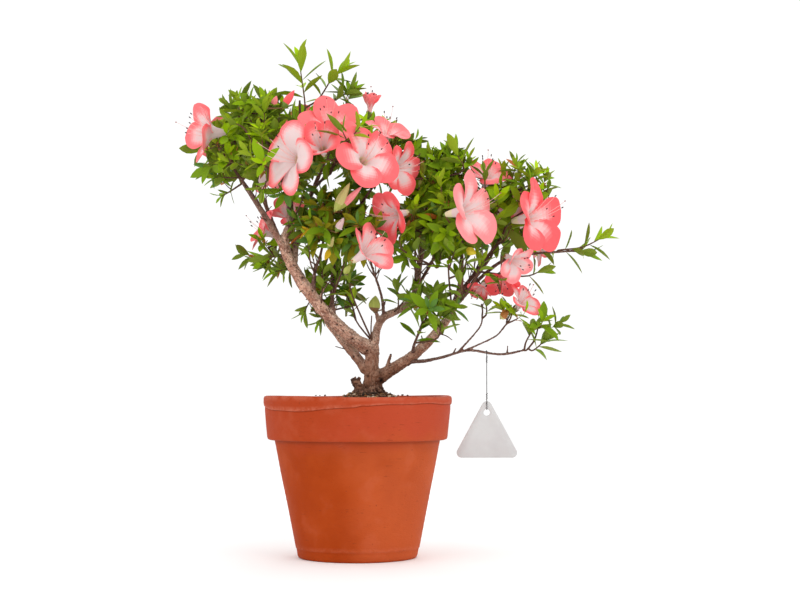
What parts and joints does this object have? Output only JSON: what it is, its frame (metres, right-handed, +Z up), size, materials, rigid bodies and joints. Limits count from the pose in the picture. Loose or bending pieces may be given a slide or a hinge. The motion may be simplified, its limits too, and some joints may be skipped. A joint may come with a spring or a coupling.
{
  "type": "potted azalea bonsai",
  "caption": "Potted azalea bonsai: short forked trunk, spreading boughs, masses of small leaves and funnel blossoms, in a round clay flowerpot, with a blank tag on a low twig.",
  "frame": {"origin": "centre of the pot's flat underside", "axes": "+Z up; +X towards the side that the long low branch and the tag reach to; -Y towards the front of the plant"},
  "size_m": [0.4343, 0.2315, 0.5108],
  "materials": {
    "clay": "matte unglazed terracotta",
    "soil": "matte, granular",
    "bark": "matte",
    "foliage": "satin leaves with pink and white blossom",
    "tag_plastic": "satin",
    "wire": "dull"
  },
  "bodies": {
    "root": {"back_crown": "foliage", "back_left": "foliage", "back_outer": "foliage", "back_right": "foliage", "back_top": "foliage", "bough_back_inner": "bark", "bough_back_left": "bark", "bough_back_outer": "bark", "bough_back_right": "bark", "bough_back_top": "bark", "bough_crown_front": "bark", "bough_front_low": "bark", "bough_inner": "bark", "bough_inner_left": "bark", "bough_inner_low": "bark", "bough_inner_mid": "bark", "bough_left": "bark", "bough_left_front": "bark", "bough_left_inner": "bark", "bough_left_outer": "bark", "bough_left_upper": "bark", "bough_low_left": "bark", "bough_mid_front": "bark", "bough_middle": "bark", "bough_right": "bark", "bough_right_low": "bark", "bough_right_outer": "bark", "bough_right_upper": "bark", "branch_low_right": "bark", "crown_front": "foliage", "crown_right": "foliage", "far_left": "foliage", "front_low": "foliage", "inner_left": "foliage", "inner_low": "foliage", "inner_mid": "foliage", "left_front": "foliage", "left_top": "foliage", "low_left": "foliage", "low_mid": "foliage", "low_right": "foliage", "pot": "clay", "right_front": "foliage", "right_low": "foliage", "right_mid": "foliage", "right_outer": "foliage", "right_tip": "foliage", "right_top": "foliage", "soil": "soil", "tag": "tag_plastic", "tag_wire": "wire", "top": "foliage", "top_right": "foliage", "trunk": "bark", "twig_low_inner": "bark", "twig_low_mid": "bark", "under_right": "foliage"}
  },
  "joints": []
}
